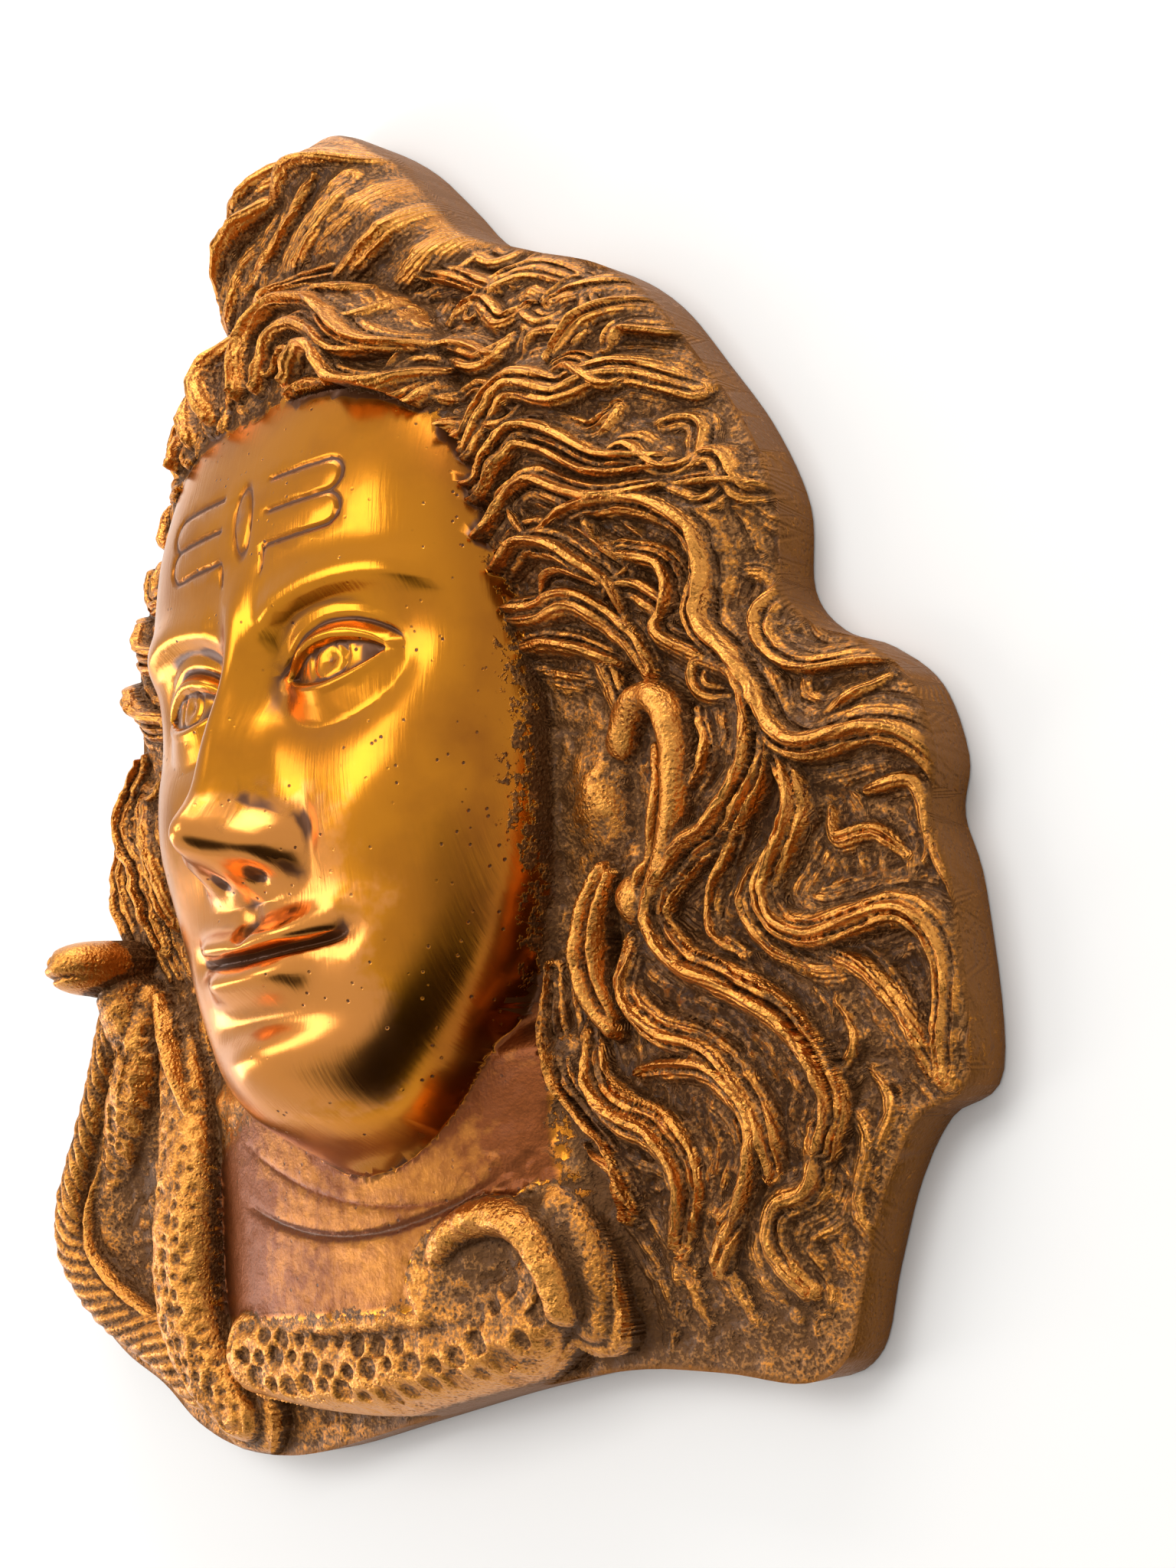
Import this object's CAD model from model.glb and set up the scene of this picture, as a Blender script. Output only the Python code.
import math

import bpy
import numpy as np
from mathutils import Matrix


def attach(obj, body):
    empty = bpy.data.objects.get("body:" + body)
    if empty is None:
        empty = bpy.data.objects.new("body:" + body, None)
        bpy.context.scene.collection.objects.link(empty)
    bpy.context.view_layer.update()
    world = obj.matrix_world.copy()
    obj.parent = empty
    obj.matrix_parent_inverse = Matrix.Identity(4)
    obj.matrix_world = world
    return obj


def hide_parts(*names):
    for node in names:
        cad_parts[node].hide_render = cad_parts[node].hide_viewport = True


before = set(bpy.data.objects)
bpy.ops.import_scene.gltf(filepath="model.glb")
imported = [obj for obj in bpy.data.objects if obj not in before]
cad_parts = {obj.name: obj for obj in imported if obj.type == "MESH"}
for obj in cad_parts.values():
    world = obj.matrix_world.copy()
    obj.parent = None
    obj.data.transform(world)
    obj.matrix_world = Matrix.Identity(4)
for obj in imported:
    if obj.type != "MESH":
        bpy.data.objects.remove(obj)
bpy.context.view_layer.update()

print("shiva mask: frame loaded")


# The casting's sizes in millimetres, then how finely its carving is built
casting = {
    "height": 255.8,
    "wall": 4.0,
    "land": 4.5,  # filed flat it rests on
    "rim": 9.0,  # upright edge below the carving
    "lockRelief": 4.6,
    "gridSteps": 620,
    "hollowSteps": 155,  # a quarter of the grid, so that the two meet 4 to 1
    "triangles": 190000,
}

# Edge of the casting, clockwise from the topknot, in drawing units close to a millimetre
outline = (
    (-8, 136), (1, 134), (9, 129), (18, 121), (27, 110), (35, 100), (48, 92), (63, 84),
    (74, 74), (83, 60), (91, 46), (96, 31), (95, 17), (100, 9), (109, 4), (117, -4),
    (120, -16), (118, -25), (120, -37), (119, -64), (109, -70), (102, -79), (96, -92),
    (91, -104), (82, -108), (66, -106), (46, -105), (20, -108), (-8, -113), (-37, -118),
    (-56, -117), (-70, -112), (-81, -104), (-94, -97), (-106, -86), (-111, -75),
    (-109, -64), (-102, -54), (-95, -43), (-90, -31), (-87, -18), (-86, -6), (-85, 5),
    (-82, 14), (-76, 23), (-75, 37), (-71, 49), (-65, 61), (-58, 70), (-55, 84),
    (-47, 96), (-35, 104), (-30, 113), (-24, 125), (-17, 133),
)


def ease(low, high, value):
    t = np.clip((value - low) / (high - low), 0, 1)
    return t * t * (3 - 2 * t)


def blendMax(a, b, width):
    share = np.clip(0.5 + 0.5 * (a - b) / width, 0, 1)
    return b + (a - b) * share + width * share * (1 - share)


def hill(x, y, cx, cy, rx, ry):
    return np.exp(-(((x - cx) / rx) ** 2 + ((y - cy) / ry) ** 2))


def crease(value, width):
    return np.exp(-((value / width) ** 2))


def dome(x, y, cx, cy, rx, ry, turn=0.0):
    c, s = math.cos(math.radians(turn)), math.sin(math.radians(turn))
    u = ((x - cx) * c + (y - cy) * s) / rx
    v = ((y - cy) * c - (x - cx) * s) / ry
    return np.sqrt(np.clip(1 - u * u - v * v, 0, None))


def smoothLine(points, steps, closed=False):
    p = np.array(points, float)
    if closed:
        p = np.vstack([p[-1], p, p[0], p[1]])
    else:
        p = np.vstack([2 * p[0] - p[1], p, 2 * p[-1] - p[-2]])
    t = np.linspace(0, 1, steps, endpoint=False)[:, None]
    runs = []
    for a, b, c, d in zip(p, p[1:], p[2:], p[3:]):
        runs.append(0.5 * (2 * b + (c - a) * t + (2 * a - 5 * b + 4 * c - d) * t**2
                           + (3 * b - a - 3 * c + d) * t**3))
    if not closed:
        runs.append(p[-2:-1])
    return np.vstack(runs)


def smoothValue(pairs, at):
    line = smoothLine(pairs, 12)
    return np.interp(at, line[:, 0], line[:, 1])


# Soft bumps of about the given size, from -1 to 1
def lumps(x, y, size, seed):
    cells, shift = 96, 500  # bumps before they repeat, and how far they are moved off the middle
    heights = np.random.default_rng(seed).uniform(-1, 1, (cells + 1, cells + 1))
    u, v = x / size + shift, y / size + shift
    i, j = np.floor(u).astype(int), np.floor(v).astype(int)
    s, t = ease(0, 1, u - i), ease(0, 1, v - j)
    i, j = i % cells, j % cells
    low = heights[i, j] * (1 - s) + heights[i + 1, j] * s
    high = heights[i, j + 1] * (1 - s) + heights[i + 1, j + 1] * s
    return low * (1 - t) + high * t


edgeLine = smoothLine(outline, 6, closed=True)
unit = casting["height"] / np.ptp(edgeLine[:, 1])
middle = (edgeLine.min(axis=0) + edgeLine.max(axis=0)) / 2
rim = casting["rim"] / unit
relief = casting["lockRelief"] / unit
wall = casting["wall"] / unit
edgeAngle = np.unwrap(np.arctan2(edgeLine[:, 1], edgeLine[:, 0])[::-1])
edgeReach = np.hypot(edgeLine[:, 0], edgeLine[:, 1])[::-1]


def edgeRadius(angle, inset):
    turn = edgeAngle[0] + np.mod(angle - edgeAngle[0], 2 * math.pi)
    around = np.append(edgeAngle, edgeAngle[0] + 2 * math.pi)
    radii = np.append(edgeReach, edgeReach[0])
    radius = np.interp(turn, around, radii)
    slope = np.interp(turn, around, np.gradient(radii, around)) / radius
    return radius - inset * np.sqrt(1 + np.clip(slope, -1.5, 1.5) ** 2)


def edgeDistance(x, y):
    out = np.empty(len(x))
    ends = np.vstack([edgeLine[1:], edgeLine[:1]])
    run = ends - edgeLine
    atOnce = 20000  # points measured together
    for first in range(0, len(x), atOnce):
        part = slice(first, first + atOnce)
        px, py = x[part][:, None] - edgeLine[:, 0], y[part][:, None] - edgeLine[:, 1]
        t = np.clip((px * run[:, 0] + py * run[:, 1]) / (run**2).sum(1), 0, 1)
        out[part] = np.sqrt(((px - t * run[:, 0]) ** 2 + (py - t * run[:, 1]) ** 2).min(axis=1))
    return out


# Points near a path: which they are, how far along it in drawing units, and how far aside
def alongPath(x, y, points, reach):
    line = smoothLine(points, 5)
    near = np.flatnonzero((x > line[:, 0].min() - reach) & (x < line[:, 0].max() + reach)
                          & (y > line[:, 1].min() - reach) & (y < line[:, 1].max() + reach))
    start, run = line[:-1], np.diff(line, axis=0)
    px, py = x[near][:, None] - start[:, 0], y[near][:, None] - start[:, 1]
    length = np.sqrt((run**2).sum(1))
    t = np.clip((px * run[:, 0] + py * run[:, 1]) / length**2, 0, 1)
    dx, dy = px - t * run[:, 0], py - t * run[:, 1]
    best = np.argmin(dx * dx + dy * dy, axis=1)
    rows = np.arange(len(near))
    dx, dy, t = dx[rows, best], dy[rows, best], t[rows, best]
    side = np.hypot(dx, dy) * np.sign(run[best, 0] * dy - run[best, 1] * dx)
    close = np.abs(side) < reach
    reached = np.concatenate([[0], np.cumsum(length)])[best] + t * length[best]
    return near[close], reached[close], side[close], length.sum()


def wave(start, heading, length, sway, turns):
    ahead = np.array([math.cos(math.radians(heading)), math.sin(math.radians(heading))])
    aside = np.array([-ahead[1], ahead[0]])
    count = max(5, int(6 * turns) + 1)
    return tuple(np.array(start) + length * t * ahead + sway * math.sin(2 * math.pi * turns * t) * aside
                 for t in np.linspace(0, 1, count))


# The head on the usual thirds and fifths
head = {
    "hairline": 70.0,
    "chin": -60.0,
    "crown": 96.0,
    "widest": 6.0,
    "half": 48.0,
    "middle": 3.0,
    "sideDepth": 6.0,
    "carving": 5.0,  # metal kept behind the features
    "jawEnd": -69.0,  # where the underside of the chin runs into the neck
    "depths": ((-72, 10), (-67, 17), (-62, 26), (-57, 32.5), (-50, 36), (-40, 36.5), (-20, 36), (0, 35.5),
               (18, 35.5), (32, 36.5), (48, 35), (62, 31), (74, 26), (86, 21), (98, 15)),
    "neckHalf": 56.0,
    "neckRise": 17.0,
    "bedSink": 1.5,  # the bed of the hair starts this much under the rim
    "bedRise": (5.5, 11.5),  # its height at the jaw, and what the crown adds to that
    "bedShoulder": 42.0,  # how far in from the edge it takes to get there
}
third = (head["hairline"] - head["chin"]) / 3
browLine = head["hairline"] - third
noseBase = head["chin"] + third
mouthLine = noseBase - third / 3
eyeWidth = 2 * head["half"] / 5
eyeLine = browLine - eyeWidth / 2


def hairFloor(y, inside):
    low, more = head["bedRise"]
    swell = low + more * ease(-45, 55, y)
    return rim - head["bedSink"] + swell * (1 - (1 - np.clip(inside / head["bedShoulder"], 0, 1)) ** 2)


def faceEgg(x, y):
    upper = np.clip((y - head["widest"]) / (head["crown"] - head["widest"]), 0, 1)
    lower = np.clip((head["widest"] - y) / (head["widest"] - head["jawEnd"]), 0, 1)
    half = head["half"] * (1 - upper**2.6) ** 0.45
    half = np.where(y < head["widest"], head["half"] * (1 - lower**2.4) ** 0.5 * (1 - 0.20 * lower), half)
    out = np.abs(x - head["middle"]) / np.maximum(half, 0.01)
    depth = smoothValue(head["depths"], y)
    bulge = np.clip(1 - np.clip(out, 0, 1) ** 2.5, 0, 1) ** 0.45
    z = rim + head["sideDepth"] + (depth - head["sideDepth"]) * bulge - 55 * np.clip(out - 1, 0, 0.5)
    return np.where((y > head["jawEnd"]) & (y < head["crown"]), z, rim - 20), out


def pastHairline(x, y):
    side = x - head["middle"]
    return y - (head["hairline"] - 0.0022 * side**2 - 4.4e-6 * side**4)


def softBar(value, half, power):
    return 1 / (1 + np.abs(value / half) ** power)


def nose(side, y):
    ridge = ((noseBase - 5, 0), (noseBase - 2, 3), (noseBase + 1, 8), (noseBase + 4, 13),
             (noseBase + 8, 14.5), (noseBase + 14, 13), (eyeLine - 8, 10), (eyeLine + 2, 6.5),
             (browLine + 1, 3), (browLine + 12, 0))
    rise = np.where((y > noseBase - 5) & (y < browLine + 12), smoothValue(ridge, y), 0)
    half = 4.4 + 2.2 * ease(eyeLine, noseBase + 6, y)
    z = rise * softBar(side, half, 2.6)
    z = z + 3.6 * hill(side, y, 0, noseBase + 6.5, 5.6, 5.6)
    z = z + 4.6 * hill(side, y, 8.4, noseBase + 3.5, 4.0, 4.6)
    z = z - 1.2 * hill(side, y, 14.2, noseBase + 5, 2.0, 5.5)
    return z - 2.2 * hill(side, y, 4.6, noseBase - 0.5, 2.2, 1.5)


def eyes(side, y):
    z = -7.0 * hill(side, y, eyeWidth, eyeLine + 1, 14, 9) - 2.0 * hill(side, y, 8, eyeLine, 4, 6)
    brow = browLine + 4.5 - 0.011 * (side - 24) ** 2
    above = np.where(y > brow, 4.4, 2.2)
    z = z + 2.2 * crease(y - brow, above) * ease(46, 32, side) * ease(2, 10, side)
    z = z + 7.0 * dome(side, y, eyeWidth, eyeLine, eyeWidth * 0.74, eyeWidth * 0.58) ** 3
    slit = (side - eyeWidth) / (eyeWidth * 0.56)
    opening = np.clip(1 - slit * slit, 0, 1)
    tilt = 0.7 * slit
    upper, lower = eyeLine + tilt + 4.3 * opening**0.8, eyeLine + tilt - 3.5 * opening
    inside = ease(0, 0.9, upper - y) * ease(0, 0.9, y - lower) * (np.abs(slit) < 1)
    z = z - 1.2 * inside
    lids = ease(1.25, 0.95, np.abs(slit))
    z = z + 0.8 * crease(y - upper - 0.9, 0.9) * lids + 0.5 * crease(y - lower + 0.8, 0.9) * lids
    fold = eyeLine + tilt + 8.4 * np.clip(1 - (slit / 1.35) ** 2, 0, 1) ** 0.8 - 0.8
    z = z - 1.0 * crease(y - fold, 0.8) * ease(1.3, 1.0, np.abs(slit))
    iris = np.hypot(side - eyeWidth, y - eyeLine - 0.7)
    return z - inside * (0.4 * crease(iris - 3.7, 0.45) + 0.7 * crease(iris, 1.2))


def mouth(side, y):
    lip = mouthLine + 1.6 * (side / 18) ** 2
    swell = ease(19.5, 9, side)
    top = 5.4 - 1.5 * crease(side, 2.4)
    z = 2.2 * hill(side, y, 0, mouthLine, 20, 13)
    z = z + 3.6 * swell * crease(y - lip - top / 2, top / 2)
    z = z + 4.6 * swell * ease(17, 5, side) * crease(y - lip + 3.9, 3.2)
    z = z - 2.9 * crease(y - lip, 0.9) * ease(20, 15, side)
    z = z - 1.2 * hill(side, y, 19, lip, 3, 3)
    z = z - 0.9 * hill(side, y, 0, noseBase - 8, 2.0, 4)
    z = z - 2.4 * hill(side, y, 0, mouthLine - 11, 13, 3.4)
    return z + 3.8 * hill(side, y, 0, head["chin"] + 11, 11, 8)


# Three engraved lines, joined at their round ends, on each side of an upright eye
foreheadLines = {"centre": 47.6, "gap": 6.3, "half": 23.0, "line": 0.55, "depth": 0.55}


def foreheadMark(side, y):
    centre, gap, half, line = (foreheadLines[name] for name in ("centre", "gap", "half", "line"))
    up = np.abs(y - centre)
    straight = ease(5.5, 7.0, side) * ease(half - 2, half - 3, side)
    lines = np.maximum(crease(up, line), crease(up - gap, line)) * straight
    corner = np.hypot(side - (half - 3.1), up - gap / 2)
    ends = crease(corner - gap / 2, line) * (side > half - 3.1)
    eye = crease(np.hypot(side / 0.36, y - centre) - 6.4, 1.1)
    tick = crease(side - 6 + 0.15 * (centre - gap - y), 0.4) * ease(-12, -10, y - centre) * (y < centre - gap)
    return np.maximum.reduce([lines, ends, 0.8 * eye, tick])


def headForm(x, y, inside):
    egg, _ = faceEgg(x, y)
    floor = hairFloor(y, inside)
    underHair = egg + 1.2 * ease(-1, 7, pastHairline(x, y))
    neck = rim - 2 + head["neckRise"] * np.sqrt(np.clip(1 - ((x + 1) / head["neckHalf"]) ** 2, 0, 1))
    neck = neck * ease(-34, -52, y) * ease(-108, -94, y)
    softness = 0.5 + 6.5 * ease(40, 0, y)
    return blendMax(blendMax(floor, neck, 4.0), underHair, softness)


# Lobes of the topknot: height, then middle, half width, half length and turn in degrees
knotLobes = ((15, (8, 104, 34, 20, -16)), (13, (-17, 112, 14, 24, -8)), (14, (5, 117, 16, 20, 12)))


def knotForm(x, y):
    return np.maximum.reduce([rim + height * dome(x, y, *place) for height, place in knotLobes])


def plainForms(x, y, inside):
    return blendMax(headForm(x, y, inside), knotForm(x, y), 2.0)


# Locks as (half width, lift, strands in it, points along it), drawn by eye from the hair's run
sideLocks = (
    (4.6, 1.15, 3, ((57, 33), (67, 36), (78, 34), (85, 29), (87, 21), (85, 13), (90, 6), (94, 0),
                    (96, -7), (102, -11), (112, -10), (119, -14), (122, -22), (120, -30), (122, -38))),
    (3.6, 0.95, 3, ((83, 37), (92, 36), (100, 32), (104, 26), (100, 18), (94, 13), (95, 7),
                    (100, 3), (108, 2), (115, 1))),
    (4.4, 1.15, 3, ((73, 26), (79, 23), (80, 17), (78, 12), (84, 7), (90, 2), (92, -6), (91, -14),
                    (85, -20), (76, -24), (70, -29), (68, -35), (73, -42), (81, -46), (89, -52),
                    (93, -58), (96, -66), (93, -73))),
    (2.8, 0.9, 2, ((82, -2), (83, -9), (79, -15), (72, -21), (66, -27), (65, -35))),
    (3.6, 1.05, 3, ((93, -9), (97, -14), (98, -21), (94, -27), (90, -32), (91, -37), (97, -40),
                    (106, -39), (113, -39), (117, -43), (118, -51), (116, -59), (115, -65))),
    (2.6, 0.8, 2, ((99, -44), (105, -47), (109, -52), (112, -58), (113, -64))),
    (2.2, 0.6, 2, ((102, -22), (103, -27), (109, -27), (113, -31))),
    (2.0, 0.55, 1, ((109, -20), (116, -20), (117, -27), (116, -32))),
    (2.0, 0.5, 1, ((103, -8), (108, -5), (114, -3))),
    (2.4, 0.7, 2, ((90, -19), (84, -26), (80, -31), (79, -37), (84, -42))),
    (2.2, 0.6, 2, ((94, -24), (87, -29), (85, -35), (89, -42), (95, -46))),
    (4.8, 1.15, 4, ((39, 37), (44, 35), (50, 37), (54, 41), (59, 42), (64, 39), (72, 36), (81, 36))),
    (4.8, 1.15, 4, ((44, 29), (50, 31), (56, 33), (62, 31), (67, 27), (72, 22), (73, 15))),
    (4.4, 1.05, 3, ((47, 22), (55, 20), (62, 20), (67, 17), (72, 12), (74, 6))),
    (3.6, 0.9, 3, ((49, 16), (56, 15), (63, 12), (69, 9))),
    (4.6, 1.2, 4, ((39, 47), (47, 44), (51, 48), (56, 52), (63, 49), (70, 43), (80, 41))),
    (4.2, 1.2, 3, ((36, 53), (44, 51), (49, 57), (55, 61), (63, 57), (69, 59), (76, 58), (84, 53))),
    (3.6, 1.0, 3, ((61, 65), (66, 71), (73, 72), (80, 68), (86, 63))),
    (3.6, 0.9, 2, ((58, 77), (66, 78), (74, 75))),
    (3.8, 1.35, 3, ((-3, 76), (-3, 87), (3, 93), (13, 91), (20, 86), (25, 80), (32, 75), (41, 74),
                    (49, 69))),
    (3.8, 1.15, 3, ((2, 76), (5, 84), (12, 85), (20, 81), (26, 75), (34, 73))),
    (3.4, 1.2, 2, ((12, 73), (16, 77), (20, 76), (25, 69), (32, 66), (41, 67))),
    (3.6, 0.9, 3, ((41, 80), (45, 86), (52, 87), (60, 82))),
    (4.0, 1.1, 3, ((62, -36), (60, -44), (66, -51), (74, -55), (80, -60), (84, -68), (84, -76))),
    (3.6, 1.0, 3, ((61, -58), (70, -58), (77, -61), (81, -68), (80, -76), (74, -84))),
    (5.2, 1.15, 4, ((50, -50), (51, -59), (57, -65), (64, -69), (67, -76), (63, -85))),
    (2.8, 0.9, 2, ((48, -68), (54, -72), (56, -79))),
    (3.2, 1.0, 3, ((43, -38), (43, -47), (44, -55), (48, -62), (54, -70), (54, -80))),
    (3.8, 0.9, 2, ((92, -70), (90, -78), (84, -81), (82, -87), (86, -94))),
    (3.0, 0.8, 2, ((79, -79), (74, -84), (70, -90))),
    (4.4, 1.1, 3, ((-64, -18), (-69, -4), (-75, 6), (-75, 15), (-68, 21))),
    (4.2, 1.0, 3, ((-74, -20), (-80, -4), (-80, 8))),
    (3.8, 1.0, 3, ((-58, -14), (-61, 2), (-66, 12))),
    (4.4, 1.1, 3, ((-51, 24), (-59, 27), (-65, 33), (-71, 36))),
    (4.4, 1.1, 3, ((-51, 37), (-58, 40), (-63, 47), (-69, 47))),
    (4.4, 1.1, 3, ((-47, 50), (-54, 52), (-57, 59), (-63, 58))),
    (4.4, 1.1, 3, ((-42, 60), (-48, 64), (-50, 72), (-55, 74))),
    (3.8, 1.25, 2, ((-35, 66), (-40, 76), (-40, 86), (-46, 92))),
    (3.4, 1.3, 2, ((-28, 70), (-31, 80), (-28, 89), (-34, 96))),
    (3.2, 1.3, 2, ((-20, 72), (-23, 81), (-19, 90), (-24, 97))),
    (3.2, 1.3, 2, ((-11, 73), (-14, 83), (-10, 92))),
    (3.6, 1.1, 3, ((-30, 99), (-18, 96), (-4, 97), (10, 98), (24, 95), (36, 90), (45, 84))),
)


# Lower waves that fill the hair between the drawn locks
def underLocks():
    for i in range(9):
        start = (52 + 6.0 * i, -36 - 3.0 * abs(i - 3))
        yield 3.2, 0.36, 2, wave(start, -88 - 1.5 * i, 60 - 3.0 * i, 3.2, 1.5)
    for i in range(8):
        start = (64 + 6.6 * i, -62 - 2 * (i % 3))
        yield 3.2, 0.34 + 0.15 * (i % 2), 2, wave(start, -92 + 4 * (i % 3), 36 - 2.0 * i, 2.4, 1.2)
    for ring, radius in enumerate((63, 74, 85, 96)):
        count = 8 + 2 * ring
        for i in range(count):
            angle = 6 + (84 * (i + 0.5 * (ring % 2))) / count
            spot = (radius * 0.93 * math.cos(math.radians(angle)),
                    4 + radius * math.sin(math.radians(angle)))
            heading = angle - 40 + 30 * math.sin(1.7 * i + 2 * ring)
            lift = 0.85 + 0.35 * math.sin(2.3 * i + ring)
            yield 3.2, lift, 2 + i % 2, wave(spot, heading, 19 - 1.5 * ring, 2.8, 1.0)
    for ring, radius in enumerate((64, 73)):
        for i in range(9):
            angle = 100 + 82 * (i + 0.5 * ring) / 9
            spot = (radius * 0.93 * math.cos(math.radians(angle)),
                    8 + radius * math.sin(math.radians(angle)))
            yield 2.8, 0.6, 2, wave(spot, angle + 18, 14, 1.8, 1.0)
    for i in range(7):
        yield 2.6, 0.55, 2, wave((-52 - 4.5 * i, -24), 95, 38, 2.0, 0.9)
    for i in range(7):
        yield 2.6, 0.32, 1, wave((96 + 3.6 * i, -12 - 3 * i), -74, 24, 2.2, 1.0)


# Broad low bands of finer strands, in which each drawn lock lies
def lockBeds():
    for i, (half, lift, strands, points) in enumerate(sideLocks):
        aside = 0.5 * half * math.sin(2.1 * i)
        shifted = [(px + aside, py - 0.6 * aside) for px, py in points]
        yield 2.2 * half + 1.0, 0.40 * lift + 0.12, strands + 3, shifted


# Long wisps that sweep over the topknot from its upper right to its lower left
topknot = {"wisps": 9, "rows": 3, "heading": 212, "length": 30, "half": 3.6, "lift": 0.8}


def topknotLocks():
    for row in range(topknot["rows"]):
        for i in range(topknot["wisps"]):
            share = i / (topknot["wisps"] - 1)
            start = (46 - 50 * share - 20 * row + 3 * math.sin(7 * i + row),
                     92 + 40 * share - 13 * row + 2.5 * math.sin(5 * i + 2 * row))
            heading = topknot["heading"] + 14 * share + 7 * math.sin(3 * i + row)
            yield (topknot["half"] * (1 + 0.3 * math.sin(4 * i + row)),
                   topknot["lift"] * (1 + 0.45 * math.sin(2.6 * i + 3 * row)), 2,
                   wave(start, heading, topknot["length"] + 5 * math.sin(i), 1.6, 0.8))
    yield 3.4, 1.5, 2, ((-29, 104), (-21, 113), (-10, 120), (3, 124), (15, 122))


# Raises one lock: a crest set to one side, strands cut along it, and skirts that sink into the hair
def layLock(z, strand, floor, x, y, lock, tone, taper, grooves=0.34):
    half, height, strands, points = lock
    near, along, side, length = alongPath(x, y, points, 1.7 * half)
    at = along / length
    slim = 1 - taper * (1 - np.sin(np.pi * np.clip(at, 0.02, 0.98)) ** 0.5)
    across = side / (half * slim)
    skew = 0.30 * math.sin(1.7 * tone + 0.6)
    leaning = across + skew * np.clip(1 - across * across, 0, 1)
    swell = np.clip(1 - np.abs(leaning) ** 1.8, 0, None) ** 0.62
    skirt = 0.34 * np.clip(1 - (np.abs(across) - 0.55) / 1.05, 0, 1) ** 1.5
    meander = 0.16 * np.sin(along / 4.3 + tone) + 0.08 * np.sin(along / 1.9 + 2 * tone)
    turn = np.clip((leaning + 1) / 2, 0, 1) ** (1.05 + 0.6 * abs(math.sin(tone))) * strands + meander
    ridge = np.abs(np.sin(np.pi * turn)) ** 0.55
    uneven = 1 + 0.20 * np.sin(np.floor(turn) * 2.4 + tone) + 0.10 * np.sin(along / 6.5 + 3 * tone)
    cut = 1 - grooves * (1 - ridge) * ease(1.5, 0.8, np.abs(across))
    grain = 0.30 * lumps(side * 3.2, along, 3.0, 11) + 0.22 * lumps(side * 1.4, along, 2.0, 12)
    body = height * slim * np.maximum(swell * uneven, skirt) * cut
    raised = floor[near] + body + grain * np.clip(swell, 0.3, 1)
    wins = raised > z[near]
    z[near[wins]] = raised[wins]
    strand[near[wins]] = side[wins] + 0.35 * np.sin(along[wins] / 4.0 + tone)


# Raises a rounded band along a path; dressing adds scales, pits or ribs to it
def layRidge(z, floor, x, y, path, taper, flat=2.0, dressing=None):
    half, heights, points = path
    near, along, side, length = alongPath(x, y, points, half)
    height = np.interp(along / length, np.linspace(0, 1, len(heights)), heights)
    slim = 1 - taper * (1 - np.sin(np.pi * np.clip(along / length, 0.02, 0.98)) ** 0.5)
    across = np.clip(np.abs(side) / (half * slim), 0, 1)
    swell = (1 - across**flat) ** 0.5 * slim
    raised = floor[near] + height * swell
    if dressing:
        raised = raised + dressing(along, side) * ease(1.0, 0.85, across)
    z[near] = np.maximum(z[near], raised)


# Staggered pits as if struck by hand: uneven in place and size, some left out
def pitted(pitch, radius, depth, tone=0.0):
    def dress(along, side):
        row = np.round(side / (pitch * 0.8))
        slide = along / pitch + 0.5 * (row % 2) + 0.13 * row
        column = np.round(slide)
        wobble = np.sin(column * 12.9 + row * 7.3 + tone)
        u = (slide - column) * pitch + 0.2 * pitch * wobble
        v = side - row * pitch * 0.8 + 0.16 * pitch * np.cos(column * 5.1 + row * 9.7 + tone)
        size = radius * (1 + 0.34 * np.sin(column * 3.7 + row * 2.1 + tone)) * (wobble > -0.85)
        return -depth * ease(size * 1.2 + 0.01, size * 0.6, np.hypot(u, v * (1 + 0.2 * wobble)))
    return dress


def ribbed(pitch, depth, slant):
    def dress(along, side):
        return -depth * (1 - np.abs(np.sin(np.pi * (along + slant * side) / pitch)) ** 0.7)
    return dress


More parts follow.
